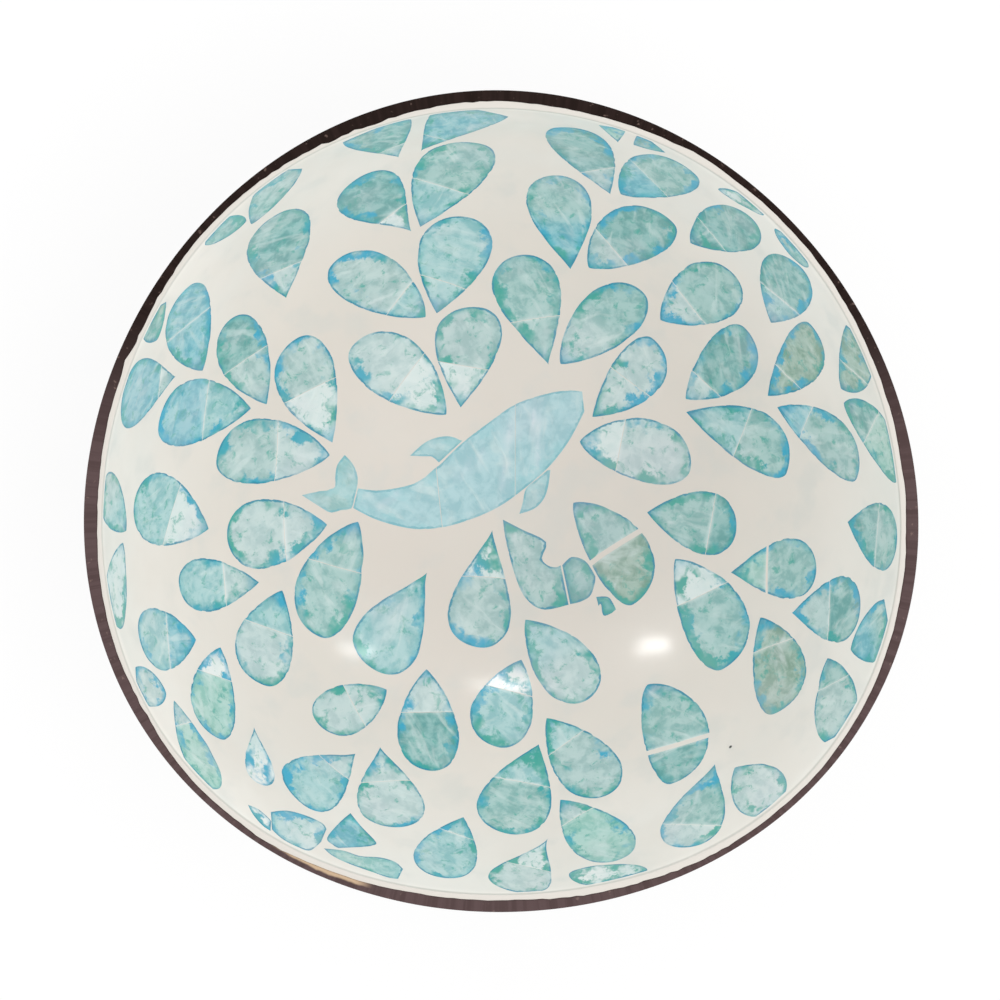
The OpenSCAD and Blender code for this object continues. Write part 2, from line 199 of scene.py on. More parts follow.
def mix(tree, factor, first, second, blend="MIX"):
    node = put(tree, "ShaderNodeMix", {0: factor, 6: first, 7: second}, data_type="RGBA", blend_type=blend)
    return node.outputs[2]


def ramp(tree, value, low, high, to_low=0.0, to_high=1.0):
    node = put(tree, "ShaderNodeMapRange", {"Value": value, "From Min": low, "From Max": high,
               "To Min": to_low, "To Max": to_high}, interpolation_type="SMOOTHSTEP")
    return node.outputs["Result"]


def maths(tree, operation, first, second=0.0):
    return put(tree, "ShaderNodeMath", {0: first, 1: second}, operation=operation).outputs[0]


def vector_maths(tree, operation, first, second=(0, 0, 0)):
    node = put(tree, "ShaderNodeVectorMath", {0: first, 1: second}, operation=operation)
    return node.outputs["Value" if operation in ("LENGTH", "DISTANCE", "DOT_PRODUCT") else "Vector"]


def grain(tree, vector, scale, detail=3.0, rough=0.5, twist=0.0):
    node = put(tree, "ShaderNodeTexNoise", {"Vector": vector, "Scale": scale, "Detail": detail,
               "Roughness": rough, "Distortion": twist})
    return node.outputs["Fac"]


def raised(tree, relief, strength, distance):
    node = put(tree, "ShaderNodeBump", {"Height": relief, "Strength": strength, "Distance": distance})
    return node.outputs["Normal"]


def paint(red, green, blue):
    """A colour as it is seen, 0 to 255, in the shader's own scale."""
    tone = [c / 255 for c in (red, green, blue)]
    return tuple(c / 12.92 if c < 0.04045 else ((c + 0.055) / 1.055) ** 2.4 for c in tone) + (1.0,)


def new_group(name, inputs, outputs):
    group = bpy.data.node_groups.new(name, "ShaderNodeTree")
    for socket, kind in inputs:
        group.interface.new_socket(socket, in_out="INPUT", socket_type="NodeSocket" + kind)
    for socket in outputs:
        group.interface.new_socket(socket, in_out="OUTPUT", socket_type="NodeSocketFloat")
    return group, group.nodes.new("NodeGroupInput").outputs, group.nodes.new("NodeGroupOutput")


def new_material(name):
    material = bpy.data.materials.new(name)
    material.use_nodes = True
    tree = material.node_tree
    place = tree.nodes.new("ShaderNodeTexCoord").outputs["Object"]
    return material, tree, tree.nodes["Principled BSDF"], place


def dress(piece, *materials):
    piece.data.materials.clear()
    for material in materials:
        piece.data.materials.append(material)


# Fibres of the shell run from the foot up to the rim, so they crowd together at the bottom
fibre_group, given, gives = new_group("coconut_fibres", [("Place", "Vector"), ("Per Turn", "Float")],
                                      ["Fibres", "Pores", "Patches"])
tree = fibre_group
outward = vector_maths(tree, "NORMALIZE", vector_maths(tree, "MULTIPLY", given["Place"], (1, 1, 0)))
spread = put(tree, "ShaderNodeVectorMath", {0: outward, "Scale": given["Per Turn"]}, operation="SCALE")
rise = vector_maths(tree, "MULTIPLY", given["Place"], (0, 0, 55))
along = vector_maths(tree, "ADD", spread.outputs["Vector"], rise)
pores = put(tree, "ShaderNodeTexVoronoi", {"Vector": along, "Scale": 1.7, "Randomness": 1.0})
feed(tree, gives, {"Fibres": ramp(tree, grain(tree, along, 1.0, 6, 0.62, 0.35), 0.36, 0.66),
                   "Pores": ramp(tree, pores.outputs["Distance"], 0.2, 0.06),
                   "Patches": ramp(tree, grain(tree, given["Place"], 42, 4, 0.55), 0.35, 0.68)})

polished, tree, skin, place = new_material("polished_coconut")
fibres = put(tree, "ShaderNodeGroup", {"Place": place, "Per Turn": 34}, node_tree=fibre_group).outputs
brown = mix(tree, fibres["Fibres"], paint(52, 31, 24), paint(104, 66, 44))
brown = mix(tree, ramp(tree, fibres["Patches"], 0, 1, 0, 0.55), brown, paint(44, 26, 21))
brown = mix(tree, ramp(tree, fibres["Pores"], 0, 1, 0, 0.7), brown, paint(24, 15, 13))
straw = ramp(tree, grain(tree, place, 150, 3, 0.6), 0.66, 0.76, 0, 0.5)
brown = mix(tree, straw, brown, paint(150, 112, 80))
grooves = maths(tree, "SUBTRACT", maths(tree, "MULTIPLY", fibres["Fibres"], 0.5), fibres["Pores"])
feed(tree, skin, {"Base Color": brown, "Roughness": ramp(tree, fibres["Fibres"], 0, 1, 0.42, 0.26),
                  "Normal": raised(tree, grooves, 0.35, 0.00012), "Coat Weight": 0.6, "Coat Roughness": 0.16})

# The rim and the foot are ground bare: matt, greyer, with pale flecks where the grit tore the fibres. The
# rim's near side is painted lighter and greyer and its far side darker, a painted sheen, and a short strip of
# its near side, left of the middle, is worn pale.
ground_wood, tree, skin, place = new_material("ground_coconut_edge")
fibres = put(tree, "ShaderNodeGroup", {"Place": place, "Per Turn": 60}, node_tree=fibre_group).outputs
# Painted sheen: lighter and greyer on the rim's near side, dark brown on its far side
far = put(tree, "ShaderNodeSeparateXYZ", {0: place}).outputs["Y"]
edge = mix(tree, ramp(tree, far, 0.006, 0.036), paint(84, 67, 67), paint(24, 9, 4))
edge = mix(tree, ramp(tree, fibres["Fibres"], 0, 1, 0, 0.35), edge, paint(48, 32, 29))
flecks = ramp(tree, grain(tree, place, 900, 2, 0.6), 0.64, 0.74, 0, 0.3)
edge = mix(tree, flecks, edge, paint(150, 126, 116))
worn_azimuth, worn_reach = 243, 5
toward_worn, along_worn = (-0.454, -0.891, 0), (0.891, -0.454, 0)
rim_before, worn_middle, rim_after = (
    on_ray(at, rim_angle(at, 0), layer_radius(at, 1, 0)).xy.length
    for at in (math.radians(worn_azimuth + step) for step in (-worn_reach, 0, worn_reach)))
worn_radius = worn_middle - 0.001
drift = (rim_after - rim_before) / (math.radians(2 * worn_reach) * worn_middle)
level = vector_maths(tree, "MULTIPLY", place, (1, 1, 0))
radius = vector_maths(tree, "LENGTH", level)
facing = maths(tree, "DIVIDE", vector_maths(tree, "DOT_PRODUCT", level, toward_worn), radius)
ragged = maths(tree, "ADD", radius, maths(tree, "MULTIPLY", grain(tree, place, 300, 3), 0.0008))
drifted = maths(tree, "MULTIPLY", vector_maths(tree, "DOT_PRODUCT", level, along_worn), drift)
ragged = maths(tree, "SUBTRACT", ragged, drifted)
worn = maths(tree, "MULTIPLY", ramp(tree, facing, 0.9895, 0.996),
             ramp(tree, ragged, worn_radius + 0.0006, worn_radius + 0.0002))
edge = mix(tree, worn, edge, paint(186, 160, 132))
feed(tree, skin, {"Base Color": edge, "Roughness": 0.62, "Specular IOR Level": 0.15,
                  "Normal": raised(tree, grain(tree, place, 1400, 3), 0.4, 0.00008)})

dress(shell, polished, ground_wood)
for face in shell.data.polygons:
    on_rim = face.center.z > height - 0.00024
    on_foot = face.center.z < 0.0002 and face.normal.z < -0.995
    if on_rim or on_foot:
        face.material_index = 1
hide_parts("coconut_shell")
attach(shell, "root")


# Lacquer lining: a thick cream ground, brushed inside the shell over the slips of pearl, sanded back until
# they show, and then given a clear glossy topcoat that leaves the surface very slightly wavy.
coat = 0.0009
face_depth = wall + coat
lining = close_rim(ball_layer("lining_outside", wall), ball_layer("lining_inside", face_depth), lip=0.0002,
                   name="cream_lacquer_lining")
for v in lining.data.vertices:
    if v.co.z > height - rim_zone:
        v.co.z += 0.00012 * noise.noise(Vector((v.co.x, v.co.y, 1)) * 140)

cream, tree, skin, place = new_material("cream_lacquer")
height_for_painted_shade = put(tree, "ShaderNodeSeparateXYZ", {0: place}).outputs["Z"]
# Painted shade: the cream is painted darker and warmer toward the bottom of the bowl, where shade falls in the
# hollow
tone = mix(tree, ramp(tree, height_for_painted_shade, 0.004, 0.058), paint(224, 213, 203), paint(240, 234, 227))
tone = mix(tree, ramp(tree, grain(tree, place, 38, 4, 0.55), 0.35, 0.7, 0, 0.5), tone, paint(226, 217, 208))
tone = mix(tree, ramp(tree, grain(tree, place, 120, 3, 0.5), 0.5, 0.72, 0, 0.3), tone, paint(206, 208, 204))
spots = put(tree, "ShaderNodeTexVoronoi", {"Vector": place, "Scale": 150, "Randomness": 1.0}).outputs
few = put(tree, "ShaderNodeSeparateColor", {0: spots["Color"]}).outputs[0]
speck = maths(tree, "MULTIPLY", ramp(tree, spots["Distance"], 0.07, 0.03), ramp(tree, few, 0.93, 0.95, 0, 0.5))
tone = mix(tree, speck, tone, paint(150, 128, 108))
blemish = vector_maths(tree, "DISTANCE", place, (0.0409, -0.0437, 0.0371))
tone = mix(tree, ramp(tree, blemish, 0.0004, 0.0002), tone, paint(40, 34, 32))
# Painted shade: the lip at the very top is painted duller, holding back the light its upturned face catches; it also
# stands for the ground-off edge
tone = mix(tree, ramp(tree, height_for_painted_shade, height - 0.001, height - 0.0003), tone, paint(203, 198, 190))
feed(tree, skin, {"Base Color": tone, "Roughness": ramp(tree, grain(tree, place, 300, 2), 0.3, 0.7, 0.36, 0.46),
                  "Coat Weight": 1.0, "Coat Roughness": 0.15})
dress(lining, cream)
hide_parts("lacquer_lining")
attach(lining, "root")


# Leaves: slips of shell pearl half a millimetre thick, cut to tear drops, dyed blue and green, mostly two
# to a leaf with a fine seam across, and laid in sprigs. The lacquer around them is sanded flush.
pearl = 0.0005
proud = 0.00003
grain_turn = 0.9
seam_gap = 0.0001
seam_shine = 0.0006
wide_gaps = {28: 0.0005, 31: 0.001, 66: 0.0011}
inlay_reach = (ball_radius - face_depth) * math.acos((ball_z - height) / (ball_radius - face_depth))
border = 0.0012
border_share = 1 - border / inlay_reach
narrow = 0.0012

# A row for each leaf, seen from above with +Y up. In shares of the way from the bottom to the rim: tip x, y,
# round end x, y. In shares of the leaf's length: width to the left, width to the right, place of the belly,
# place of the seam or 0. Last, its colours: tip and body.
leaf_rows = {
    "sprig_12_rim_leaves": [
        (-0.225, 0.775, -0.335, 1.0, 0.36, 0.34, 0.7, 0.2, "ice", "teal"),
        (-0.175, 0.79, -0.02, 1.05, 0.34, 0.3, 0.7, 0.2, "sky", "sky")],
    "sprig_12_upper_leaves": [
        (-0.175, 0.54, -0.315, 0.72, 0.36, 0.3, 0.72, 0.3, "milk", "teal"),
        (-0.157, 0.55, -0.035, 0.8, 0.38, 0.22, 0.66, 0.42, "aqua", "sea")],
    "sprig_12_middle_leaves": [
        (-0.137, 0.338, -0.345, 0.475, 0.2, 0.3, 0.62, 0.28, "aqua", "pale"),
        (-0.115, 0.345, -0.06, 0.57, 0.34, 0.3, 0.66, 0.3, "aqua", "aqua")],
    "sprig_12_inner_leaves": [
        (-0.093, 0.137, -0.285, 0.285, 0.2, 0.32, 0.62, 0.45, "milk", "ice"),
        (-0.065, 0.15, -0.025, 0.355, 0.38, 0.24, 0.68, 0.4, "milk", "pale")],
    "sprig_1_rim_leaves": [
        (0.28, 0.87, 0.27, 1.02, 0.26, 0.26, 0.7, 0, "mint", "mint"),
        (0.32, 0.875, 0.45, 0.975, 0.3, 0.36, 0.64, 0, "teal", "sea")],
    "sprig_1_upper_leaves": [
        (0.243, 0.66, 0.13, 0.895, 0.2, 0.36, 0.68, 0.3, "pale", "teal"),
        (0.267, 0.665, 0.475, 0.81, 0.4, 0.2, 0.6, 0.42, "sky", "sea")],
    "sprig_1_middle_leaves": [
        (0.15, 0.448, 0.13, 0.7, 0.3, 0.25, 0.68, 0, "sky", "sea"),
        (0.188, 0.455, 0.385, 0.605, 0.36, 0.2, 0.6, 0.3, "pale", "teal")],
    "sprig_1_inner_leaves": [
        (0.104, 0.238, 0.045, 0.475, 0.28, 0.27, 0.7, 0.4, "sea", "sea"),
        (0.128, 0.24, 0.3, 0.41, 0.28, 0.22, 0.62, 0, "ice", "sea")],
    "sprig_3_rim_leaves": [
        (0.795, 0.267, 0.885, 0.48, 0.1, 0.42, 0.55, 0.35, "olive", "olive"),
        (0.797, 0.232, 0.985, 0.07, 0.42, 0.14, 0.55, 0.4, "teal", "mint")],
    "sprig_3_upper_leaves": [
        (0.573, 0.21, 0.725, 0.42, 0.13, 0.31, 0.64, 0.3, "olive", "olive"),
        (0.595, 0.187, 0.815, 0.055, 0.36, 0.15, 0.64, 0.3, "sky", "sea")],
    "sprig_3_middle_leaves": [
        (0.382, 0.183, 0.53, 0.362, 0.17, 0.34, 0.62, 0.25, "ice", "teal"),
        (0.382, 0.155, 0.608, 0.045, 0.37, 0.14, 0.66, 0.5, "aqua", "sea")],
    "sprig_3_inner_leaves": [
        (0.19, 0.135, 0.315, 0.307, 0.15, 0.34, 0.64, 0.5, "ice", "ice"),
        (0.165, 0.085, 0.388, 0.04, 0.34, 0.22, 0.6, 0.35, "milk", "ice")],
    "sprig_4_rim_leaves": [
        (0.815, -0.337, 0.985, -0.255, 0.34, 0.46, 0.6, 0, "sky", "sea"),
        (0.74, -0.353, 0.82, -0.57, 0.36, 0.24, 0.62, 0.3, "sea", "pale")],
    "sprig_4_outer_leaves": [
        (0.625, -0.248, 0.832, -0.24, 0.36, 0.36, 0.68, 0.5, "pale", "teal"),
        (0.548, -0.257, 0.61, -0.475, 0.42, 0.18, 0.62, 0.3, "olive", "olive")],
    "sprig_4_middle_leaves": [
        (0.475, -0.165, 0.685, -0.15, 0.3, 0.3, 0.68, 0.4, "mint", "sea"),
        (0.355, -0.14, 0.47, -0.365, 0.38, 0.18, 0.62, 0.35, "milk", "sea")],
    "sprig_4_inner_leaves": [
        (0.297, -0.05, 0.485, -0.085, 0.36, 0.3, 0.66, 0.7, "sea", "teal"),
        (0.152, -0.034, 0.272, -0.23, 0.38, 0.14, 0.6, 0.5, "sea", "olive")],
    "sprig_6_rim_leaves": [
        (0.113, -0.782, 0.035, -0.985, 0.34, 0.4, 0.76, 0.5, "milk", "ice"),
        (0.17, -0.915, 0.37, -0.915, 0.16, 0.28, 0.5, 0, "white", "milk")],
    "sprig_6_outer_leaves": [
        (0.088, -0.528, 0.02, -0.765, 0.3, 0.36, 0.68, 0.4, "aqua", "sea"),
        (0.138, -0.668, 0.31, -0.855, 0.24, 0.32, 0.64, 0.25, "ice", "mint")],
    "sprig_6_middle_leaves": [
        (0.052, -0.343, 0.005, -0.535, 0.26, 0.38, 0.64, 0.35, "white", "aqua"),
        (0.104, -0.468, 0.25, -0.652, 0.27, 0.3, 0.64, 0.3, "aqua", "pale")],
    "sprig_6_inner_leaves": [
        (-0.004, -0.087, -0.03, -0.318, 0.23, 0.3, 0.72, 0.4, "milk", "pale"),
        (0.018, -0.075, 0.128, -0.243, 0.14, 0.22, 0.66, 0, "pale", "pale"),
        (0.13, -0.14, 0.18, -0.207, 0.3, 0.34, 0.55, 0, "teal", "pale"),
        (0.06, -0.262, 0.19, -0.425, 0.3, 0.28, 0.64, 0, "aqua", "ice")],
    "sprig_8_rim_leaves": [
        (-0.785, -0.44, -0.915, -0.415, 0.4, 0.36, 0.55, 0, "ice", "ice"),
        (-0.762, -0.455, -0.695, -0.685, 0.18, 0.24, 0.64, 0.25, "ice", "mint")],
    "sprig_8_outer_leaves": [
        (-0.655, -0.305, -0.85, -0.29, 0.44, 0.3, 0.62, 0.45, "sky", "aqua"),
        (-0.59, -0.32, -0.64, -0.54, 0.2, 0.36, 0.62, 0.3, "white", "mint")],
    "sprig_8_middle_leaves": [
        (-0.482, -0.183, -0.69, -0.18, 0.3, 0.24, 0.66, 0.4, "ice", "aqua"),
        (-0.43, -0.2, -0.49, -0.4, 0.24, 0.4, 0.64, 0.4, "aqua", "ice")],
    "sprig_8_inner_leaves": [
        (-0.33, -0.072, -0.555, -0.09, 0.32, 0.3, 0.64, 0.4, "ice", "ice"),
        (-0.266, -0.068, -0.352, -0.295, 0.2, 0.34, 0.62, 0.4, "sea", "sea")],
    "sprig_10_rim_leaves": [
        (-0.727, 0.283, -0.942, 0.265, 0.38, 0.46, 0.7, 0.25, "ice", "sky"),
        (-0.83, 0.405, -0.85, 0.56, 0.44, 0.14, 0.5, 0, "teal", "olive")],
    "sprig_10_outer_leaves": [
        (-0.505, 0.175, -0.765, 0.168, 0.22, 0.36, 0.64, 0.45, "aqua", "sky"),
        (-0.642, 0.28, -0.745, 0.535, 0.34, 0.2, 0.62, 0.55, "sky", "sky")],
    "sprig_10_middle_leaf": [
        (-0.468, 0.18, -0.58, 0.392, 0.27, 0.24, 0.64, 0.5, "pale", "teal")],
    "sprig_10_inner_leaves": [
        (-0.325, 0.065, -0.585, 0.07, 0.2, 0.32, 0.62, 0.45, "ice", "pale"),
        (-0.32, 0.09, -0.403, 0.318, 0.32, 0.22, 0.66, 0.5, "milk", "pale")],
    "loose_leaf_11": [
        (-0.442, 0.415, -0.505, 0.668, 0.34, 0.3, 0.68, 0.3, "ice", "teal")],
    "rim_leaves_11": [
        (-0.605, 0.685, -0.735, 0.665, 0.2, 0.4, 0.55, 0, "teal", "sea"),
        (-0.583, 0.665, -0.51, 0.87, 0.3, 0.26, 0.6, 0, "sea", "pale")],
    "loose_leaves_1": [
        (0.42, 0.558, 0.62, 0.7, 0.3, 0.28, 0.62, 0.3, "teal", "teal"),
        (0.335, 0.35, 0.525, 0.492, 0.3, 0.3, 0.62, 0.35, "ice", "sea")],
    "loose_leaf_2": [
        (0.603, 0.39, 0.732, 0.6, 0.34, 0.28, 0.64, 0.35, "aqua", "teal")],
    "rim_leaves_2": [
        (0.53, 0.78, 0.655, 0.738, 0.26, 0.1, 0.55, 0, "milk", "pale"),
        (0.68, 0.7, 0.765, 0.605, 0.16, 0.22, 0.55, 0, "pale", "sea")],
    "rim_leaf_3": [
        (0.778, -0.048, 0.975, -0.08, 0.38, 0.42, 0.66, 0.55, "teal", "sea")],
    "loose_leaf_5": [
        (0.31, -0.395, 0.385, -0.635, 0.42, 0.15, 0.55, 0.62, "sea", "teal")],
    "rim_leaves_5": [
        (0.482, -0.59, 0.445, -0.84, 0.34, 0.3, 0.7, 0.7, "sea", "ice"),
        (0.535, -0.605, 0.68, -0.74, 0.36, 0.34, 0.62, 0, "ice", "ice")],
    "rim_leaf_6": [
        (-0.078, -0.715, -0.165, -0.92, 0.36, 0.32, 0.66, 0.25, "aqua", "aqua")],
    "rim_leaves_7": [
        (-0.34, -0.718, -0.4, -0.885, 0.36, 0.26, 0.6, 0, "sky", "sky"),
        (-0.372, -0.912, -0.245, -0.905, 0.22, 0.26, 0.55, 0, "mint", "aqua"),
        (-0.455, -0.785, -0.585, -0.77, 0.4, 0.36, 0.55, 0, "aqua", "milk"),
        (-0.6, -0.735, -0.65, -0.705, 0.3, 0.3, 0.5, 0, "white", "white")],
    "outer_leaves_7": [
        (-0.247, -0.535, -0.238, -0.75, 0.36, 0.36, 0.7, 0.4, "ice", "ice"),
        (-0.303, -0.552, -0.455, -0.7, 0.26, 0.44, 0.7, 0.3, "ice", "aqua"),
        (-0.535, -0.5, -0.55, -0.655, 0.24, 0.26, 0.72, 0, "milk", "white")],
    "inner_leaves_7": [
        (-0.138, -0.362, -0.138, -0.592, 0.26, 0.3, 0.64, 0.4, "ice", "teal"),
        (-0.222, -0.405, -0.385, -0.47, 0.36, 0.26, 0.62, 0.45, "ice", "ice"),
        (-0.131, -0.168, -0.24, -0.365, 0.26, 0.34, 0.72, 0, "aqua", "aqua")],
    "rim_leaves_9": [
        (-0.87, -0.058, -0.98, 0.09, 0.38, 0.22, 0.6, 0, "aqua", "ice"),
        (-0.885, -0.085, -0.93, -0.29, 0.14, 0.36, 0.6, 0, "milk", "milk")],
    "loose_leaf_9": [
        (-0.602, -0.07, -0.835, 0.012, 0.32, 0.32, 0.64, 0.45, "milk", "aqua")],
    "chip": [
        (0.2, -0.21, 0.235, -0.25, 0.25, 0.25, 0.5, 0, "teal", "teal")]}
dyes = {"white": paint(240, 242, 241), "milk": paint(222, 233, 232), "ice": paint(192, 213, 213),
        "pale": paint(172, 202, 201), "sea": paint(142, 192, 189), "teal": paint(96, 174, 172),
        "sky": paint(92, 186, 202), "aqua": paint(152, 203, 206), "mint": paint(156, 207, 197),
        "olive": paint(138, 176, 158)}
deep_point, faint_point, broken_point = paint(34, 144, 180), paint(72, 168, 192), paint(46, 152, 178)

# One thin plate is the blank of every slip: its length runs along x and its width along y
columns = 28
bpy.ops.object.select_all(action="DESELECT")
bpy.ops.mesh.primitive_grid_add(x_subdivisions=columns, y_subdivisions=10, size=2, location=(0, 0, 0))
blank = bpy.context.object
blank.name = "slip_blank"
plate = blank.modifiers.new("plate", "SOLIDIFY")
plate.thickness = 1
plate.offset = -1
bpy.ops.object.modifier_apply(modifier=plate.name)
blank_places = [v.co.copy() for v in blank.data.vertices]


def under(plan, depth):
    """Point of the bowl's wall under a place of the inlay's plan."""
    azimuth, share = math.atan2(plan.y, plan.x), plan.length
    return on_ray(azimuth, share * rim_angle(azimuth, face_depth), layer_radius(azimuth, share, depth))


def apart(p, a, b):
    """Distance of a point from the stretch between two others."""
    run = b - a
    length = run.length_squared
    share = max(0, min(1, (p - a).dot(run) / length)) if length > 0 else 0
    return (p - a - run * share).length


def eased(turn):
    """Share of the way along a slip for a turn from 0 to pi, so that its rows crowd toward both ends."""
    return (1 - math.cos(turn)) / 2


def luck(number, stride, kind):
    """A leaf's own amount of something uneven, the same each time."""
    return noise.noise(Vector((number * stride, kind, 0)))


def set_slip(name, shape, colour, turn, chance, dyed_ends):
    """Copies the blank, lays it in the wall by its plan, and notes what its finish needs at each point."""
    slip = bpy.data.objects.new(name, blank.data.copy())
    bpy.context.collection.objects.link(slip)
    shares = [eased(math.pi * (p.x + 1) / 2) for p in blank_places]
    plan = [shape(share, p.y) for share, p in zip(shares, blank_places)]
    left, right = ([shape(eased(math.pi * i / columns), side) for i in range(columns + 1)] for side in (1, -1))
    edges = list(zip(left, left[1:])) + list(zip(right, right[1:]))
    if dyed_ends[0]:
        edges.append((right[0], left[0]))
    if dyed_ends[1]:
        edges.append((right[-1], left[-1]))
    for kept, kind in (("tint", "FLOAT_COLOR"), ("edge", "FLOAT"), ("growth", "FLOAT_VECTOR")):
        slip.data.attributes.new(kept, kind, "POINT")
    tint, rim, growth = (slip.data.attributes[kept].data for kept in ("tint", "edge", "growth"))
    turned = Matrix.Rotation(turn, 2)
    for i, p in enumerate(blank_places):
        outline = abs(p.y) > 0.99 or abs(p.x) > 0.99
        depth = face_depth - pearl if p.z < -0.5 else face_depth + (0.3 * proud if outline else proud)
        slip.data.vertices[i].co = under(plan[i], depth)
        tint[i].color = colour(shares[i], p.y)
        rim[i].value = min(apart(plan[i], a, b) for a, b in edges) * inlay_reach
        across = turned @ (plan[i] * inlay_reach)
        growth[i].vector = (across.x, across.y, chance)
    return slip


def join_slips(slips, name):
    bpy.ops.object.select_all(action="DESELECT")
    for slip in slips:
        slip.select_set(True)
    bpy.context.view_layer.objects.active = slips[0]
    if len(slips) > 1:
        bpy.ops.object.join()
    piece = slips[0]
    piece.name = name
    bpy.ops.object.mode_set(mode="EDIT")
    bpy.ops.mesh.select_all(action="SELECT")
    bpy.ops.mesh.remove_doubles(threshold=0.000004)
    bpy.ops.mesh.normals_make_consistent(inside=False)
    bpy.ops.object.mode_set(mode="OBJECT")
    bpy.ops.object.shade_smooth_by_angle(angle=math.radians(40))
    return piece


def fullness(share, belly):
    """Half width of a leaf along its length, as a share of that at its belly."""
    if share <= 0 or share >= 1:
        return 0
    return (share / belly) ** (belly / (2 * (1 - belly))) * math.sqrt((1 - share) / (1 - belly))


def leaf_slips(name, row, number):
    """The one or two slips of a leaf, with its hand-cut, slightly uneven outline."""
    tip, end = Vector(row[0:2]), Vector(row[2:4])
    left, right, belly, seam, tip_dye, body_dye = row[4:]
    length = (end - tip).length
    run = (end - tip) / length
    across = Vector((-run.y, run.x))
    on_tip = tip.dot(run)
    last = min(1, (math.sqrt(on_tip ** 2 - tip.length_squared + border_share ** 2) - on_tip) / length)
    lean = 0.1 * luck(number, 3.7, 1)
    bow = 0.05 * luck(number, 5.3, 2)

    def half_width(share, side):
        width = length * fullness(share, belly) * (left if side > 0 else right)
        place = Vector((share * length * inlay_reach * 300, side * 5, number * 2.9))
        uneven = (0.00016 * noise.noise(place) + 0.00006 * noise.noise(place * 3.7)) / inlay_reach
        middle = tip + run * length * share
        inward = middle.dot(across * side)
        room = math.sqrt(max(0, inward ** 2 + border_share ** 2 - middle.length_squared)) - inward
        return min(width + uneven * min(1, width * inlay_reach / narrow), max(0, room))

    def shape_between(start, stop, sloped):
        def shape(u, v):
            slope = (lean * v + bow * (1 - v * v)) * (min(left, right) + 0.2)
            a = start + slope * sloped[0]
            b = stop + slope * sloped[1]
            share = max(0, min(last, a + (b - a) * u))
            return tip + run * length * share + across * v * half_width(share, v)
        return shape

    def colour_between(start, stop, first, second, seams):
        def colour(u, v):
            share = start + (stop - start) * u
            change = max(0, min(1, (share - 0.3) / 0.35))
            tone = Vector(dyes[first]).lerp(Vector(dyes[second]), change * change * (3 - 2 * change))
            point = max(0, 1 - share / 0.16) * (0.75 + 0.6 * luck(number, 1.9, 3))
            if first in ("milk", "white", "ice", "pale"):
                tone = tone.lerp(Vector(faint_point), max(0, min(0.75, point)))
            else:
                tone = tone.lerp(Vector(deep_point), max(0, min(0.9, point * 1.2)))
            for near in seams:
                bright = max(0, 1 - abs(share - near) * length * inlay_reach / seam_shine)
                tone = tone.lerp(Vector(dyes["white"]), (0.45 + 0.6 * luck(number, 2.3, 5)) * bright)
            return tone
        return colour

    turn = math.atan2(run.y, run.x) + 1.4 * luck(number, 7.1, 4)
    if seam == 0:
        return [set_slip(name, shape_between(0, last, (0, 0)), colour_between(0, last, tip_dye, body_dye, ()),
                         -turn, number, (False, last < 1))]
    half = wide_gaps.get(number, seam_gap) / inlay_reach / length / 2
    tip_slip = set_slip(name, shape_between(0, seam - half, (0, 1)),
                        colour_between(0, seam, tip_dye, tip_dye, (seam,)), -turn, number, (False, False))
    body_slip = set_slip(name, shape_between(seam + half, last, (1, 0)),
                         colour_between(seam, last, body_dye, body_dye, (seam,)),
                         -turn - grain_turn, number + 0.5, (False, last < 1))
    return [tip_slip, body_slip]


def smooth_row(places, at):
    """Point on a smooth curve through places, at a count of rows from the first."""
    i = max(0, min(len(places) - 2, int(at)))
    t = at - i
    p = [places[max(0, min(len(places) - 1, i + k))] for k in (-1, 0, 1, 2)]
    return (p[1] * 2 + (p[2] - p[0]) * t + (p[0] * 2 - p[1] * 5 + p[2] * 4 - p[3]) * t * t
            + (p[1] * 3 - p[0] - p[2] * 3 + p[3]) * t ** 3) / 2


def broken_slip(name, rows, tip_dye, body_dye, number, pointed):
    """Slip of a leaf that broke as it was cut, from the rows of its outline."""
    rights = [Vector(row[:2]) for row in rows]
    lefts = [Vector(row[-2:]) for row in rows]

    def shape(u, v):
        at = u * (len(rows) - 1)
        return smooth_row(rights, at).lerp(smooth_row(lefts, at), (v + 1) / 2)

    def colour(u, v):
        tone = Vector(dyes[tip_dye]).lerp(Vector(dyes[body_dye]), u)
        return tone.lerp(Vector(broken_point), max(0, 0.8 - u / 0.14) if pointed else 0)

    return set_slip(name, shape, colour, 0.6 * number, number, (True, True))


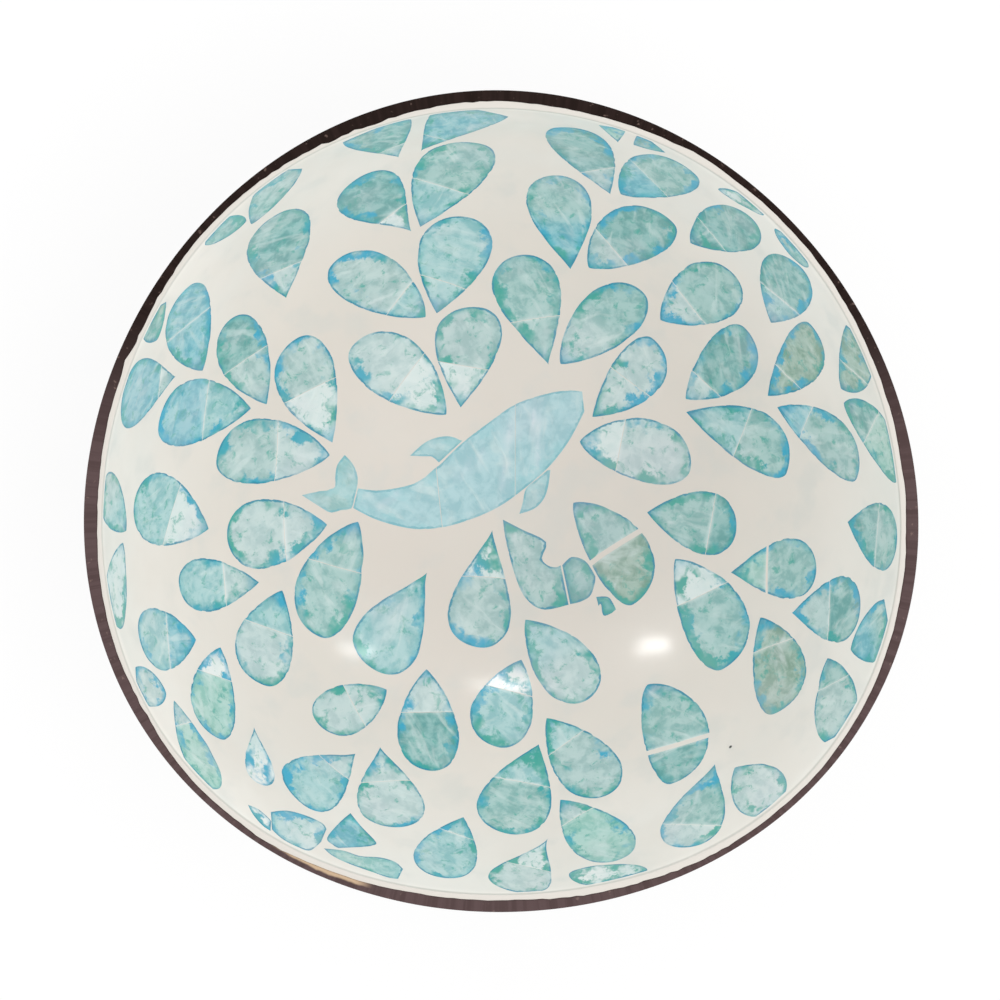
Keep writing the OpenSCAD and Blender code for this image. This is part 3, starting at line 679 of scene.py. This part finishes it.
# Slips of leaves that broke as they were cut, by their number among the leaves. Each row is the edge on the
# right x, y and the edge on the left x, y, or one point where the slip ends sharp.
broken_leaves = {
    39: [(0.0165, -0.0671),
         (0.0201, -0.0967, 0.0531, -0.0859),
         (0.0272, -0.1294, 0.0991, -0.1092),
         (0.0377, -0.1681, 0.0913, -0.1406),
         (0.0571, -0.2149, 0.1033, -0.155),
         (0.0923, -0.2413, 0.1188, -0.1583),
         (0.1441, -0.2316, 0.1276, -0.1546)],
    40: [(0.1472, -0.2304, 0.1307, -0.1542),
         (0.1682, -0.2249, 0.1495, -0.1378),
         (0.1866, -0.2129, 0.1738, -0.1447),
         (0.1946, -0.1883, 0.1867, -0.1601),
         (0.1955, -0.1756)],
    83: [(0.2028, -0.2335, 0.1979, -0.2156),
         (0.2076, -0.2305, 0.2201, -0.2151),
         (0.2131, -0.2524, 0.2313, -0.2274),
         (0.2299, -0.2473, 0.2376, -0.2403)],
    73: [(-0.6147, -0.7219),
         (-0.6085, -0.7498, -0.5884, -0.7307),
         (-0.5915, -0.7803, -0.5668, -0.7541),
         (-0.5721, -0.7971, -0.5613, -0.7643)],
    72: [(-0.5663, -0.7917, -0.5535, -0.7355),
         (-0.5449, -0.8194, -0.5045, -0.7248),
         (-0.5096, -0.8417, -0.4557, -0.7342),
         (-0.4767, -0.8514, -0.4198, -0.753),
         (-0.4385, -0.8182, -0.4126, -0.7717)],
    70: [(-0.3395, -0.7132),
         (-0.3749, -0.7476, -0.3211, -0.752),
         (-0.4187, -0.8024, -0.2934, -0.8026),
         (-0.4083, -0.825, -0.3059, -0.8159),
         (-0.3972, -0.8342, -0.3328, -0.8238)],
    71: [(-0.4359, -0.8401),
         (-0.42, -0.863, -0.3858, -0.8417),
         (-0.3854, -0.8867, -0.3447, -0.8571),
         (-0.3252, -0.9153, -0.2934, -0.8576),
         (-0.2867, -0.934, -0.2577, -0.8712),
         (-0.2613, -0.9382, -0.2415, -0.8967)]}
keeps_its_point = (39, 70)

# What shows inside the pearl, noted once for the leaves and the whale: bands left as the shell grew, clouds,
# deeper blotches where more dye soaked in, and bright glints off the layers
pearl_group, given, gives = new_group("pearl_growth", [("Growth", "Vector")],
                                      ["Bands", "Clouds", "Blotches", "Glints"])
tree = pearl_group
wide = vector_maths(tree, "MULTIPLY", given["Growth"], (110, 380, 7))
even = vector_maths(tree, "MULTIPLY", given["Growth"], (1000, 1000, 7))
fine = vector_maths(tree, "MULTIPLY", given["Growth"], (500, 2100, 7))
feed(tree, gives, {"Bands": ramp(tree, grain(tree, wide, 1.0, 3, 0.5, 0.8), 0.5, 0.72),
                   "Clouds": ramp(tree, grain(tree, even, 0.32, 5, 0.6, 0.3), 0.32, 0.68),
                   "Blotches": ramp(tree, grain(tree, even, 0.42, 6, 0.68, 0.5), 0.54, 0.68),
                   "Glints": ramp(tree, grain(tree, fine, 1.0, 2, 0.5, 0.4), 0.62, 0.75)})

# Dye gathers in a fine dark line along the cut edge and washes a little way in from it
dye_group, given, gives = new_group("dyed_edge", [("Edge", "Float"), ("Growth", "Vector")], ["Line", "Wash"])
tree = dye_group
even = vector_maths(tree, "MULTIPLY", given["Growth"], (1000, 1000, 7))
line_width = ramp(tree, grain(tree, even, 0.9, 4, 0.6), 0.3, 0.7, 0.00012, 0.00042)
line = ramp(tree, maths(tree, "SUBTRACT", given["Edge"], line_width), 0.0, 0.0002, 1.0, 0.0)
line_strength = ramp(tree, grain(tree, even, 0.3, 3), 0.36, 0.58, 0.2, 1.0)
wash_width = ramp(tree, grain(tree, even, 0.26, 4, 0.65), 0.4, 0.68, 0.0, 0.0026)
wash = ramp(tree, maths(tree, "SUBTRACT", given["Edge"], wash_width), 0.0, 0.0013, 1.0, 0.0)
wash_strength = ramp(tree, grain(tree, even, 0.17, 3, 0.55), 0.42, 0.6, 0.05, 1.0)
feed(tree, gives, {"Line": maths(tree, "MULTIPLY", line, line_strength),
                   "Wash": maths(tree, "MULTIPLY", wash, wash_strength)})


def pearl_finish(name, deep_dye, line_dye, wash_dye, bands, blotches, wash, line, glints, patches, paleness):
    """Material of dyed pearl under a clear topcoat, from three dyes and how much of each thing shows."""
    material, tree, skin, place = new_material(name)
    tint = put(tree, "ShaderNodeAttribute", attribute_name="tint").outputs["Color"]
    edge = put(tree, "ShaderNodeAttribute", attribute_name="edge").outputs["Fac"]
    growth = put(tree, "ShaderNodeAttribute", attribute_name="growth").outputs["Vector"]
    inner = put(tree, "ShaderNodeGroup", {"Growth": growth}, node_tree=pearl_group).outputs
    dyed = put(tree, "ShaderNodeGroup", {"Edge": edge, "Growth": growth}, node_tree=dye_group).outputs
    cloudy = ramp(tree, inner["Clouds"], 0, 1, 0.0, 0.5)
    tone = mix(tree, cloudy, tint, mix(tree, 1.0, tint, tint, "MULTIPLY"))
    patchy = ramp(tree, grain(tree, place, 210, 4, 0.6, 0.6), 0.5, 0.72, 0, patches)
    tone = mix(tree, patchy, tone, paint(214, 228, 226))
    inside = maths(tree, "MULTIPLY", ramp(tree, edge, 0.0004, 0.002), ramp(tree, inner["Clouds"], 0, 1, 0.75, 0.2))
    tone = mix(tree, maths(tree, "MULTIPLY", inside, paleness), tone, mix(tree, 0.5, tint, paint(216, 223, 218)))
    tone = mix(tree, maths(tree, "MULTIPLY", inner["Blotches"], blotches), tone, deep_dye)
    tone = mix(tree, maths(tree, "MULTIPLY", inner["Bands"], bands), tone, paint(224, 234, 232))
    soaked = mix(tree, ramp(tree, grain(tree, place, 52, 2, 0.5), 0.42, 0.58), wash_dye, deep_dye)
    tone = mix(tree, maths(tree, "MULTIPLY", dyed["Wash"], wash), tone, soaked)
    tone = mix(tree, maths(tree, "MULTIPLY", dyed["Line"], line), tone, line_dye)
    # Painted sheen: faint lavender patches in the colour stand for the pearl's play of colour in the light
    painted_sheen = ramp(tree, grain(tree, place, 75, 2, 0.4), 0.52, 0.7, 0, 0.12)
    tone = mix(tree, painted_sheen, tone, paint(232, 214, 226))
    layers = maths(tree, "ADD", inner["Bands"], maths(tree, "MULTIPLY", inner["Glints"], 0.6))
    feed(tree, skin, {"Base Color": tone, "Roughness": ramp(tree, inner["Clouds"], 0, 1, 0.3, 0.44),
                      "Metallic": maths(tree, "MULTIPLY", inner["Glints"], glints),
                      "Normal": raised(tree, layers, 0.5, 0.0001), "Coat Weight": 1.0, "Coat Roughness": 0.1})
    return material


leaf_pearl = pearl_finish("dyed_leaf_pearl", paint(40, 162, 148), paint(22, 136, 164), paint(30, 164, 198),
                          bands=0.4, blotches=0.72, wash=0.95, line=0.9, glints=0.35, patches=0.45, paleness=0.85)
number = 0
for node, rows in leaf_rows.items():
    slips = []
    for row in rows:
        if number in broken_leaves:
            slips.append(broken_slip(node, broken_leaves[number], row[8], row[9], number, number in keeps_its_point))
        else:
            slips += leaf_slips(node, row, number)
        number += 1
    piece = join_slips(slips, node + "_pearl")
    dress(piece, leaf_pearl)
    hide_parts(node)
    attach(piece, "root")


# Whale: four cuts of paler pearl at the bottom of the bowl, a tail fluke, a body of three slips, a fin on
# the back and a flipper, dyed a light sky blue and streaked paler.

# Rows of its outline run along each cut: edge on the right x, y and edge on the left x, y, or one point
# where the cut ends sharp. Seams lie at the rows named last.
whale_rows = {
    "whale_tail_fluke": ([
        (-0.294, 0.064),
        (-0.309, 0.045, -0.277, 0.045),
        (-0.313, 0.022, -0.267, 0.02),
        (-0.313, 0.002, -0.2688, -0.004),
        (-0.322, -0.002, -0.2738, -0.022),
        (-0.332, -0.005, -0.2793, -0.0415),
        (-0.345, -0.0055, -0.3, -0.044),
        (-0.36, -0.008, -0.322, -0.0485),
        (-0.372, -0.01, -0.342, -0.038),
        (-0.383, -0.012)], []),
    "whale_body": ([
        (-0.276, -0.041, -0.266, -0.003),
        (-0.225, -0.066, -0.22, -0.008),
        (-0.158, -0.083, -0.154, 0.004),
        (-0.1, -0.081, -0.112, 0.034),
        (-0.045, -0.066, -0.06, 0.082),
        (0, -0.047, -0.012, 0.119),
        (0.04, -0.021, 0.04, 0.156),
        (0.1, 0.03, 0.1, 0.178),
        (0.143, 0.085, 0.142, 0.186),
        (0.174, 0.145, 0.17, 0.185)], [3, 6]),
    "whale_back_fin": ([
        (-0.061, 0.0855, -0.1065, 0.0435),
        (-0.092, 0.0945, -0.12, 0.0545),
        (-0.13, 0.085, -0.141, 0.0565),
        (-0.163, 0.058)], []),
    "whale_flipper": ([
        (0.048, -0.056),
        (0.076, -0.046, 0.054, -0.036),
        (0.094, -0.028, 0.0605, -0.008),
        (0.103, -0.004, 0.08, 0.0095),
        (0.1075, 0.029, 0.102, 0.028)], [])}
whale_dyes = {"whale_tail_fluke": (164, 204, 203), "whale_body": (174, 211, 217),
              "whale_back_fin": (164, 205, 208), "whale_flipper": (166, 203, 208)}
# Paler streaks across it: from x, y to x, y on the plan, and how wide
whale_streaks = (((0.076, 0.135), (0.087, 0.045), 0.012), ((0.03, 0.114), (0.019, -0.004), 0.016),
                 ((-0.02, 0.055), (-0.075, 0.012), 0.012), ((-0.22, -0.04), (-0.185, -0.012), 0.012))


def whale_slip(node, rights, lefts, start, stop, gaps, number):
    def shape(u, v):
        at = start + (stop - start) * u
        shift = Vector((0, 0))
        if gaps[0] or gaps[1]:
            before, after = max(0, at - 0.1), min(at + 0.1, len(rights) - 1)
            heading = smooth_row(rights, after) - smooth_row(rights, before)
            shift = heading.normalized() * seam_gap / inlay_reach / 2 * (gaps[0] * (1 - u) - gaps[1] * u)
        return smooth_row(rights, at).lerp(smooth_row(lefts, at), (v + 1) / 2) + shift

    def colour(u, v):
        place = shape(u, v)
        tone = Vector(paint(*whale_dyes[node]))
        patchy = 0.5 + 0.6 * noise.noise(Vector((place.x, place.y, 0)) * 60)
        for a, b, width in whale_streaks:
            streak = max(0, 1 - apart(place, Vector(a), Vector(b)) / width)
            tone = tone.lerp(Vector(paint(222, 230, 236)), streak * patchy)
        return tone

    return set_slip(node, shape, colour, 0.5 + 0.2 * number, 200 + number, (not gaps[0], not gaps[1]))


whale_pearl = pearl_finish("sky_blue_whale_pearl", paint(146, 196, 204), paint(100, 172, 186), paint(146, 204, 210),
                           bands=0.35, blotches=0.35, wash=0.4, line=0.7, glints=0.15, patches=0.45, paleness=0.2)
for node, (rows, seams) in whale_rows.items():
    rights = [Vector(row[:2]) for row in rows]
    lefts = [Vector(row[-2:]) for row in rows]
    ends = [0] + seams + [len(rows) - 1]
    slips = [whale_slip(node, rights, lefts, start, stop, (start > 0, stop < len(rows) - 1), start)
             for start, stop in zip(ends, ends[1:])]
    piece = join_slips(slips, node + "_pearl")
    dress(piece, whale_pearl)
    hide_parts(node)
    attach(piece, "root")
bpy.data.objects.remove(blank)


# Studio: a pale floor that the bowl stands on, a white surround that lights a little more from low down, a
# broad soft light from above, and three low soft boxes that draw the highlights in the topcoat.
bpy.ops.object.select_all(action="DESELECT")
bpy.ops.mesh.primitive_plane_add(size=6, location=(0, 0, 0))
floor = bpy.context.object
floor.name = "pale_floor"
paper, tree, skin, place = new_material("pale_floor_paper")
feed(tree, skin, {"Base Color": (0.93, 0.93, 0.93, 1), "Roughness": 0.9})
seen = put(tree, "ShaderNodeLightPath").outputs["Is Camera Ray"]
white = put(tree, "ShaderNodeEmission", {"Color": (1, 1, 1, 1), "Strength": 1.0}).outputs[0]
share = maths(tree, "MULTIPLY", seen, 0.85)
both = put(tree, "ShaderNodeMixShader", {0: share, 1: skin.outputs[0], 2: white}).outputs[0]
feed(tree, tree.nodes["Material Output"], {"Surface": both})
floor.data.materials.append(paper)

world = bpy.data.worlds.new("even_surround")
bpy.context.scene.world = world
world.use_nodes = True
tree = world.node_tree
tree.nodes.clear()
rays = put(tree, "ShaderNodeLightPath").outputs
mirrored = maths(tree, "MAXIMUM", rays["Is Glossy Ray"], rays["Is Transmission Ray"])
shown = maths(tree, "MAXIMUM", rays["Is Camera Ray"], mirrored)
toward_sky = put(tree, "ShaderNodeTexCoord").outputs["Generated"]
up_in_sky = put(tree, "ShaderNodeSeparateXYZ", {0: toward_sky}).outputs["Z"]
strength = ramp(tree, up_in_sky, 0.3, 1.0, 1.4, 0.8)
lit, seen = (put(tree, "ShaderNodeBackground", {"Color": (1, 1, 1, 1), "Strength": amount}).outputs[0]
             for amount in (strength, 1.0))
surround = put(tree, "ShaderNodeMixShader", {0: shown, 1: lit, 2: seen}).outputs[0]
put(tree, "ShaderNodeOutputWorld", {"Surface": surround})


def soft_box(name, azimuth, elevation, distance, width, depth, power, roll=0):
    """Lamp that faces the bowl from a direction given in degrees."""
    a, e = math.radians(azimuth), math.radians(elevation)
    toward = Vector((math.cos(a) * math.cos(e), math.sin(a) * math.cos(e), math.sin(e)))
    data = bpy.data.lights.new(name, "AREA")
    data.shape = "RECTANGLE"
    data.size = width
    data.size_y = depth
    data.energy = power
    lamp = bpy.data.objects.new(name, data)
    bpy.context.collection.objects.link(lamp)
    lamp.location = Vector((0, 0, 0.03)) + toward * distance
    facing_bowl = toward.to_track_quat("Z", "Y").to_matrix()
    lamp.rotation_euler = (facing_bowl @ Matrix.Rotation(math.radians(roll), 3, "Z")).to_euler()
    return lamp


soft_box("broad_top_light", 330, 62, 1.4, 1.0, 1.0, 5).visible_glossy = False
soft_box("left_soft_box", 134, 26, 1.0, 0.16, 0.07, 0.6, -42)
soft_box("right_soft_box", 48, 27, 1.0, 0.16, 0.06, 0.3, 40)
soft_box("far_soft_box", 88, 30, 1.0, 0.2, 0.06, 0.3)

# The camera looks down from 0.6 m above the rim, 5 degrees off the upright
distance = 0.6
tilt, toward = math.radians(5), math.radians(105)
back = Vector((math.sin(tilt) * math.cos(toward), math.sin(tilt) * math.sin(toward), math.cos(tilt)))
right = Vector((0, 1, 0)).cross(back).normalized()
camera_data = bpy.data.cameras.new("camera")
camera_data.sensor_width = 36
camera_data.lens = 128.1
camera_data.shift_x = -0.0014
camera_data.shift_y = 0.0111
camera = bpy.data.objects.new("camera", camera_data)
bpy.context.collection.objects.link(camera)
turn = Matrix((right, back.cross(right), back)).transposed()
camera.matrix_world = Matrix.Translation(Vector((0, 0, height)) + back * distance) @ turn.to_4x4()
bpy.context.scene.camera = camera
bpy.context.scene.view_settings.view_transform = "Standard"
